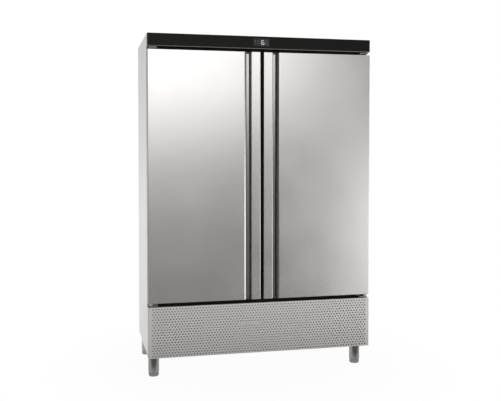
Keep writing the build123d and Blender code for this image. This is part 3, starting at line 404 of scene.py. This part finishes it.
lens_low, lens_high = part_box("display_lens")
digit_tall, digit_breadth, digit_pitch = 0.0235, 0.0048, 0.024
slimness, tip_gap_share = 1.55, 0.3
digit_wide = digit_tall / slimness
digit_inset, digit_drop = 0.0195, 0.0012
film, bar_thickness = 0.00012, 0.000072
digit_height = (lens_low.z + lens_high.z) / 2 - digit_drop
digit_left = Vector((lens_low.x + digit_inset, lens_low.y - film, digit_height))
light = Finish("digit_light")
cool_white = light.tint((0.72, 0.76, 0.80), light.noise(400.0), 0.08)
lit_finish = light.surface(cool_white, 0.5, Emission_Color=cool_white, Emission_Strength=0.14)
unlit_finish = moulded("digit_unlit", (0.05, 0.05, 0.052), 0.5)
for name, lit, steps, material in (
    ("display_digit", "acdefg", 0, lit_finish),
    ("display_digit_unlit", "abcdefg", 1, unlit_finish),
):
    bars = bmesh.new()
    centre = digit_left + Vector((steps * digit_pitch, 0, 0))
    digit(bars, centre, digit_tall, digit_wide, digit_breadth, lit)
    bmesh.ops.solidify(bars, geom=bars.faces[:], thickness=bar_thickness)
    bmesh.ops.recalc_face_normals(bars, faces=bars.faces)
    piece(name, bars, material, "cabinet")


# Key marks: a plain sign printed in pale ink on each key, a ring, a square outline and two
# triangles. Each is a thin film that moves with its key.
mark_finish = moulded("key_print", (0.42, 0.42, 0.43), 0.55)
mark_radius, outline_share = 0.0026, 0.7
print_film, print_thickness = 0.00004, 0.00002
for name, corners, turn in (
    ("key_power", 24, 0.0), ("key_set", 4, math.pi / 4),
    ("key_up", 3, 0.0), ("key_down", 3, math.pi),
):
    low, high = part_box(name)
    sign = bmesh.new()
    filled = corners == 3
    for share in (1.0,) if filled else (1.0, outline_share):
        radius = mark_radius * share
        bmesh.ops.create_circle(sign, cap_ends=filled, segments=corners, radius=radius)
    if not filled:
        bmesh.ops.bridge_loops(sign, edges=sign.edges[:])
    bmesh.ops.rotate(sign, verts=sign.verts, matrix=Matrix.Rotation(turn, 3, "Z"))
    bmesh.ops.rotate(sign, verts=sign.verts, matrix=Matrix.Rotation(math.pi / 2, 3, "X"))
    spot = Vector(((low.x + high.x) / 2, low.y - print_film, (low.z + high.z) / 2))
    bmesh.ops.translate(sign, verts=sign.verts, vec=spot)
    bmesh.ops.solidify(sign, geom=sign.faces[:], thickness=print_thickness)
    bmesh.ops.recalc_face_normals(sign, faces=sign.faces)
    piece(f"{name}_mark", sign, mark_finish, name)


# Perforated panel and its backing: a shallow folded tray of punched stainless, with a short
# brush along it. A frame of sheet stiffens it and shows through the outer holes. Its dark grey
# is painted shade, for the shade behind the holes.
panel_grain, backing_grain = (30.0, 900.0, 900.0), (40.0, 500.0, 500.0)
panel_steel = brushed("brushed_stainless_panel", (0.76, 0.74, 0.72), 0.56, panel_grain, 0.0)
dress(panel_steel, "grille_panel")
backing_painted_shade = brushed("backing_sheet_painted_shade", (0.2, 0.19, 0.18), 0.45, backing_grain, 0.2)
dress(backing_painted_shade, "grille_backing")


# Doors: a dark moulded frame round the edge of each, a metal channel for the hand behind the
# rolled lip, and nylon bushes pressed in for the hinge pins.
edge_finish = moulded("edge_plastic", (0.06, 0.06, 0.062), 0.5)
dress(edge_finish, "door_frame_left", "door_frame_right")
# The channel's grey is partly its own darker metal and partly painted shade, for the recess.
grip_steel_and_recess_shade = brushed("grip_profile", (0.38, 0.375, 0.365), 0.16, upward_grain)
dress(grip_steel_and_recess_shade, "grip_channel_left", "grip_channel_right")
nylon = moulded("nylon", (0.72, 0.71, 0.66), 0.45, 300.0)
dress(nylon, "hinge_bushes_left", "hinge_bushes_right")


# Door gaskets: soft dark rubber pushed into a groove round the inner panel, with a pleated
# neck and a flat magnetic bead, mitred at the corners.
gasket_rubber = moulded("gasket_rubber", (0.055, 0.055, 0.056), 0.62, 500.0)
gasket_half_width = 0.011

# The right half of its section: shares of the half width and of the depth, door side first.
pleats = (
    (1.0, 0.0), (1.0, 0.13), (0.66, 0.2), (0.40, 0.27), (0.62, 0.37), (0.42, 0.47),
    (0.62, 0.56), (0.63, 0.92), (0.56, 1.0),
)
profile = list(pleats) + [(-share, depth_share) for share, depth_share in reversed(pleats)]
for side in ("left", "right"):
    low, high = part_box(f"door_gasket_{side}")
    centre = (low + high) / 2
    reach = (high - low) / 2 - Vector((gasket_half_width, 0.0, gasket_half_width))
    ring = bmesh.new()
    corner_loops = []
    for way_x, way_z in ((-1, -1), (1, -1), (1, 1), (-1, 1)):
        corner = []
        for share, depth_share in profile:
            out = share * gasket_half_width
            spot = (
                centre.x + way_x * (reach.x + out),
                low.y + depth_share * (high.y - low.y),
                centre.z + way_z * (reach.z + out),
            )
            corner.append(ring.verts.new(spot))
        pairs = zip(corner, corner[1:] + corner[:1])
        corner_loops.append([ring.edges.new(pair) for pair in pairs])
    for first, second in zip(corner_loops, corner_loops[1:] + corner_loops[:1]):
        bmesh.ops.bridge_loops(ring, edges=first + second)
    bmesh.ops.recalc_face_normals(ring, faces=ring.faces)
    gasket = piece(f"gasket_{side}", ring, gasket_rubber, f"{side}_door")
    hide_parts(f"door_gasket_{side}")


# Legs and feet: polished stainless tube on a plate screwed to the base, with the fine rings
# of the polishing round it, and a foot that screws in and out of each for levelling.
ring_grain = (14.0, 14.0, 900.0)
# The legs' steel is darker than the shell's: painted shade, for the shade under the cabinet.
leg_steel_painted_shade = brushed("leg_stainless", (0.46, 0.45, 0.44), 0.14, ring_grain, 0.0)
foot_steel = brushed("foot_stainless", (0.34, 0.335, 0.33), 0.2, ring_grain, 0.0)
dress(leg_steel_painted_shade, "legs")
dress(foot_steel, "foot_front_left", "foot_front_right", "foot_rear_left", "foot_rear_right")


# Shelves: slotted stainless uprights with angle runners hooked into them, and shelves of
# welded wire with a pale plastic coat that lie on the runners.
dress(liner_steel, "shelf_supports")
shelf_coat = moulded("coated_wire", (0.66, 0.66, 0.64), 0.3, 250.0)
dress(shelf_coat, "wire_shelves_left", "wire_shelves_right")


# Interior lamp: a long diffuser of opal plastic, snapped on behind the header that runs above
# both door openings.
lamp_opal = moulded("lamp_plastic", (0.82, 0.82, 0.80), 0.35, 300.0)
dress(lamp_opal, "interior_lamp")


# Cooling parts: aluminium fins, brazed copper pipes, dark plastic fans on bare motors, and a
# condenser and a compressor in thick black paint, the latter on rubber mounts. The relay box
# and the other electrical parts are dark plastic.
fin_metal = brushed("coil_aluminium", (0.72, 0.73, 0.74), 0.4, (900.0, 60.0, 60.0), 0.0)
dress(fin_metal, "evaporator_coil")
copper = Finish("copper")
tarnish = copper.noise(18.0, 4.0)
copper_shade = copper.mix(tarnish, (0.62, 0.29, 0.17, 1.0), (0.36, 0.19, 0.12, 1.0))
copper_finish = copper.surface(copper_shade, tarnish * 0.3 + 0.18, Metallic=1.0)
dress(copper_finish, "refrigerant_pipes")
fan_plastic = moulded("fan_plastic", (0.03, 0.03, 0.032), 0.42)
dress(fan_plastic, "evaporator_fan_left", "evaporator_fan_right", "condenser_fan")
motor_metal = brushed("motor_metal", (0.45, 0.45, 0.46), 0.42, (200.0, 20.0, 200.0), 0.0)
dress(motor_metal, "fan_motors")
orange_peel = 0.00025
thick_paint_and_painted_shade = moulded("compressor_paint_and_condenser_shade", (0.012, 0.012, 0.012), 0.35, 160.0, orange_peel)
# The condenser's black is partly its coat and partly painted shade, for the shade in the holes.
dress(thick_paint_and_painted_shade, "compressor", "condenser_coil")
dress(gasket_rubber, "compressor_mounts")
relay_plastic = moulded("relay_plastic", (0.035, 0.035, 0.038), 0.5)
dress(relay_plastic, "electrical_parts")


# Cable gland: a moulded round collar that snaps into the rear grille from outside, with a
# black rubber grommet pressed into it.
gland_x, gland_rise = 0.610, 0.043
rear_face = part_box("rear_panel")[1].y
gland_centre = Vector((gland_x, rear_face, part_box("rear_grille")[0].z + gland_rise))
collar_outer, collar_bore, collar_height, collar_edge = 0.0155, 0.0105, 0.0034, 0.0009
grommet_bore, grommet_lip = 0.0052, 0.0007


def turned(section, centre, steps=32):
    """A ring about the Y axis through the centre, from a closed section of (radius, y) points."""
    mesh = bmesh.new()
    spots = [mesh.verts.new(centre + Vector((radius, y, 0.0))) for radius, y in section]
    outline = [mesh.edges.new(pair) for pair in zip(spots, spots[1:] + spots[:1])]
    bmesh.ops.spin(
        mesh, geom=spots + outline, cent=centre, axis=(0, 1, 0), dvec=(0, 0, 0),
        angle=2 * math.pi, steps=steps, use_merge=True, use_duplicate=False,
    )
    bmesh.ops.recalc_face_normals(mesh, faces=mesh.faces)
    return mesh


collar = turned(
    (
        (collar_bore, 0.0), (collar_outer, 0.0), (collar_outer, collar_height - collar_edge),
        (collar_outer - collar_edge, collar_height), (collar_bore, collar_height),
    ),
    gland_centre,
)
piece("gland_collar", collar, relay_plastic, "cabinet", smooth=30)
grommet = turned(
    (
        (grommet_bore, -collar_height), (collar_bore, -collar_height),
        (collar_bore, collar_height - grommet_lip), (collar_bore - grommet_lip, collar_height),
        (grommet_bore + grommet_lip, collar_height), (grommet_bore, collar_height - grommet_lip),
    ),
    gland_centre,
)
piece("gland_grommet", grommet, gasket_rubber, "cabinet", smooth=30)


# Screws: zinc-coated, with domed heads and a six-lobed socket, four under each leg plate,
# sixteen in the rear panel and two in the foot of each hinge bracket.
wall_share, dome_share = 0.55, 0.95

# The dome, the rim of the socket and its floor: inset as a share of the radius, rise as a share
# of the height, and how far every second corner is drawn in.
socket_steps = ((0.2, 0.45, 1.0), (0.22, 0.0, 0.78), (0.03, -0.5, 1.0))


def screw_head(mesh, centre, facing, radius, height):
    """A head that stands on the centre, with its socket towards facing."""
    wall = height * wall_share
    head = bmesh.ops.create_cone(
        mesh, cap_ends=True, segments=12, radius1=radius, radius2=radius * dome_share, depth=wall
    )["verts"]
    bmesh.ops.translate(mesh, verts=head, vec=(0, 0, wall / 2))
    faces = {face for vert in head for face in vert.link_faces}
    top = max(faces, key=lambda face: face.calc_center_median().z)
    for inset, rise, lobe in socket_steps:
        made = bmesh.ops.inset_region(
            mesh, faces=[top], thickness=inset * radius, depth=rise * height
        )
        bmesh.ops.scale(mesh, vec=(lobe, lobe, 1.0), verts=list(top.verts)[::2])
        head += [vert for face in made["faces"] for vert in face.verts]
    head = list(set(head))
    turn = Vector((0, 0, 1)).rotation_difference(Vector(facing)).to_matrix()
    bmesh.ops.rotate(mesh, verts=head, matrix=turn)
    bmesh.ops.translate(mesh, verts=head, vec=centre)


heads = bmesh.new()
legs_low, legs_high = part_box("legs")
plate, plate_margin, plate_under = 0.080, 0.010, 0.004
plate_head = {"radius": 0.006, "height": 0.005}
for edge_x in (legs_low.x, legs_high.x - plate):
    for edge_y in (legs_low.y, legs_high.y - plate):
        for step_x in (plate_margin, plate - plate_margin):
            for step_y in (plate_margin, plate - plate_margin):
                spot = Vector((edge_x + step_x, edge_y + step_y, legs_high.z - plate_under))
                screw_head(heads, spot, (0, 0, -1), **plate_head)

back_pitch_x, back_pitch_z, back_count = 0.330, 0.490, 4
back_middle = (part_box("machine_ceiling")[0].z + cad_box[1].z) / 2
back_head = {"radius": 0.0045, "height": 0.003}
steps = [index - (back_count - 1) / 2 for index in range(back_count)]
for step_x in steps:
    for step_z in steps:
        spot = Vector((step_x * back_pitch_x, rear_face, back_middle + step_z * back_pitch_z))
        screw_head(heads, spot, (0, 1, 0), **back_head)

brackets_low, brackets_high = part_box("hinge_brackets")
bracket_length, bracket_sheet, screw_reach = 0.058, 0.005, 0.017
lower_screw_rise, upper_screw_drop = 0.009, 0.0085
bracket_head = {"radius": 0.003, "height": 0.002}
for side in (-1, 1):
    foot_x = side * (brackets_high.x - bracket_length / 2)
    for screw_z in (brackets_low.z + lower_screw_rise, brackets_high.z - upper_screw_drop):
        for step_x in (-screw_reach, screw_reach):
            spot = Vector((foot_x + step_x, brackets_high.y - bracket_sheet, screw_z))
            screw_head(heads, spot, (0, -1, 0), **bracket_head)
screws = piece("screw_heads", heads, zinc_finish, "cabinet", smooth=35)
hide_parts("screws")
